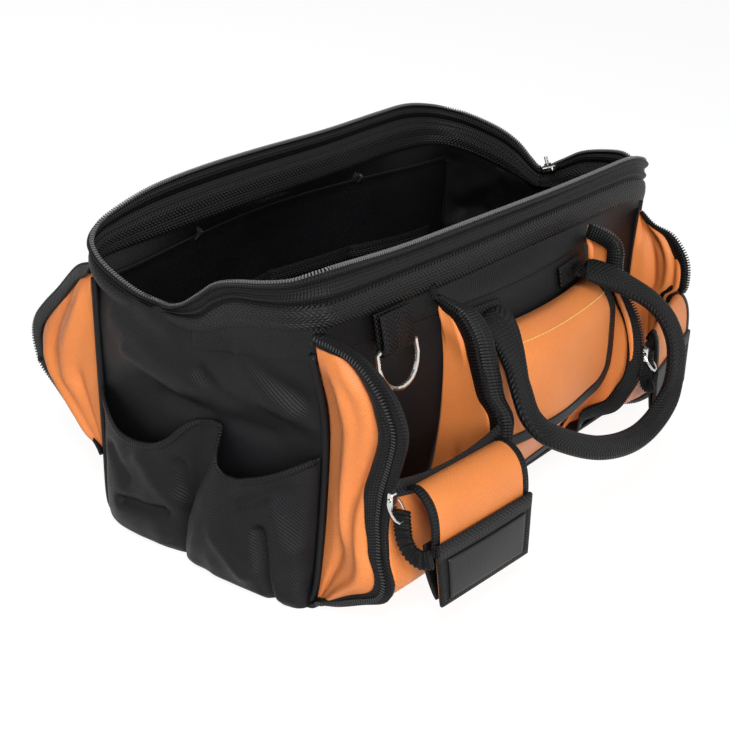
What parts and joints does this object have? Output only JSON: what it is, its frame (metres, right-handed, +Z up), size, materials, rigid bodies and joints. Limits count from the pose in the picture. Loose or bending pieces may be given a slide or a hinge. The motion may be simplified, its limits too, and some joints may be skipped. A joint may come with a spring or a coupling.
{
  "type": "wide mouth tool bag",
  "caption": "Soft tool bag with a hinged metal mouth, zipped top, bellows and slip pockets, a flap pocket, webbing handles and rings.",
  "frame": {"origin": "centre of the underside, on the surface that the bag stands on", "axes": "+X along the bag's length, +Y from the front long side to the back long side, +Z up"},
  "size_m": [0.456, 0.438, 0.2305],
  "materials": {
    "black_cloth": "coarse polyester weave",
    "orange_cloth": "coarse polyester weave",
    "webbing": "woven webbing",
    "board": "matte",
    "zip_coil": "satin",
    "vinyl": "grained",
    "steel": "rolled",
    "nickel": "polished plate"
  },
  "bodies": {
    "bag": {"base_panel": "black_cloth", "front_wall": "black_cloth", "back_wall": "black_cloth", "left_end_panel": "black_cloth", "right_end_panel": "black_cloth", "base_board": "board", "left_end_piping": "webbing", "right_end_piping": "webbing", "left_end_pocket_front": "black_cloth", "left_end_pocket_back": "black_cloth", "right_end_pocket_front": "black_cloth", "right_end_pocket_back": "black_cloth", "front_left_pocket_outer_gusset": "orange_cloth", "front_left_pocket_inner_gusset": "orange_cloth", "front_left_pocket_panel": "orange_cloth", "front_right_pocket_outer_gusset": "orange_cloth", "front_right_pocket_inner_gusset": "orange_cloth", "front_right_pocket_panel": "orange_cloth", "front_center_pocket": "orange_cloth", "front_inner_pocket": "black_cloth", "front_skirt": "black_cloth", "back_left_pocket_outer_gusset": "orange_cloth", "back_left_pocket_inner_gusset": "orange_cloth", "back_left_pocket_panel": "orange_cloth", "back_right_pocket_outer_gusset": "orange_cloth", "back_right_pocket_inner_gusset": "orange_cloth", "back_right_pocket_panel": "orange_cloth", "back_center_pocket": "orange_cloth", "back_inner_pocket": "black_cloth", "back_skirt": "black_cloth", "front_left_ring_tab": "webbing", "back_right_ring_tab": "webbing", "left_rivet": "steel", "right_rivet": "steel", "front_left_pocket_slider": "nickel", "front_right_pocket_slider": "nickel"},
    "front_mouth": {"front_frame": "steel", "front_hem_band": "webbing", "front_zip": "zip_coil", "zip_slider": "nickel"},
    "front_handle_loop": {"front_handle": "webbing"},
    "back_mouth": {"back_frame": "steel", "back_hem_band": "webbing", "back_zip": "zip_coil"},
    "back_handle_loop": {"back_handle": "webbing"},
    "puller": {"zip_puller": "nickel"},
    "flap": {"center_flap": "orange_cloth"},
    "front_left_ring": {"front_left_d_ring": "nickel"},
    "back_right_ring": {"back_right_d_ring": "nickel"},
    "left_lid": {"front_left_lid": "orange_cloth", "front_left_lid_end": "vinyl", "front_left_ribbed_loop": "webbing"},
    "left_slider_ring": {"front_left_slider_ring": "nickel"},
    "right_lid": {"front_right_lid": "orange_cloth", "front_right_lid_end": "vinyl", "front_right_ribbed_loop": "webbing"},
    "right_slider_ring": {"front_right_slider_ring": "nickel"}
  },
  "joints": [
    {"name": "front_frame_hinge", "type": "hinge", "parent": "bag", "child": "front_mouth", "pos_m": [0, 0, 0.193], "axis": [-1, 0, 0], "range_deg": [0, 67], "deforming": ["front_skirt"]},
    {"name": "back_frame_hinge", "type": "hinge", "parent": "bag", "child": "back_mouth", "pos_m": [0, 0, 0.193], "axis": [1, 0, 0], "range_deg": [0, 67], "deforming": ["back_skirt"]},
    {"name": "front_handle_swing", "type": "hinge", "parent": "bag", "child": "front_handle_loop", "pos_m": [0, -0.12644, 0.175], "axis": [-1, 0, 0], "range_deg": [0, 120]},
    {"name": "back_handle_swing", "type": "hinge", "parent": "bag", "child": "back_handle_loop", "pos_m": [0, 0.12644, 0.175], "axis": [1, 0, 0], "range_deg": [0, 120]},
    {"name": "center_flap_lift", "type": "hinge", "parent": "bag", "child": "flap", "pos_m": [0, -0.13445, 0.163], "axis": [-1, 0, 0], "range_deg": [0, 108]},
    {"name": "front_d_ring_swing", "type": "hinge", "parent": "bag", "child": "front_left_ring", "pos_m": [-0.1415, -0.11435, 0.1757], "axis": [-1, 0, 0], "range_deg": [0, 145]},
    {"name": "back_d_ring_swing", "type": "hinge", "parent": "bag", "child": "back_right_ring", "pos_m": [0.1415, 0.11435, 0.1757], "axis": [1, 0, 0], "range_deg": [0, 145]},
    {"name": "zip_puller_swing", "type": "hinge", "parent": "front_mouth", "child": "puller", "pos_m": [0.2, -0.01205, 0.19855], "axis": [1, 0, 0], "range_deg": [-75, 75]},
    {"name": "left_lid_lift", "type": "hinge", "parent": "bag", "child": "left_lid", "pos_m": [-0.148, -0.16137, 0.111], "axis": [-0.9977, 0.0672, 0], "range_deg": [0, 110]},
    {"name": "right_lid_lift", "type": "hinge", "parent": "bag", "child": "right_lid", "pos_m": [0.148, -0.15437, 0.111], "axis": [-0.9626, -0.2707, 0], "range_deg": [0, 110]},
    {"name": "left_slider_ring_swing", "type": "hinge", "parent": "bag", "child": "left_slider_ring", "pos_m": [-0.20133, -0.15998, 0.1066], "axis": [-0.9977, 0.0672, 0], "range_deg": [0, 115]},
    {"name": "right_slider_ring_swing", "type": "hinge", "parent": "bag", "child": "right_slider_ring", "pos_m": [0.09729, -0.17092, 0.1066], "axis": [-0.9626, -0.2707, 0], "range_deg": [0, 115]}
  ],
  "couplings": [
    {"joint": "center_flap_lift", "follows": "front_handle_swing", "ratio": 0.9}
  ]
}
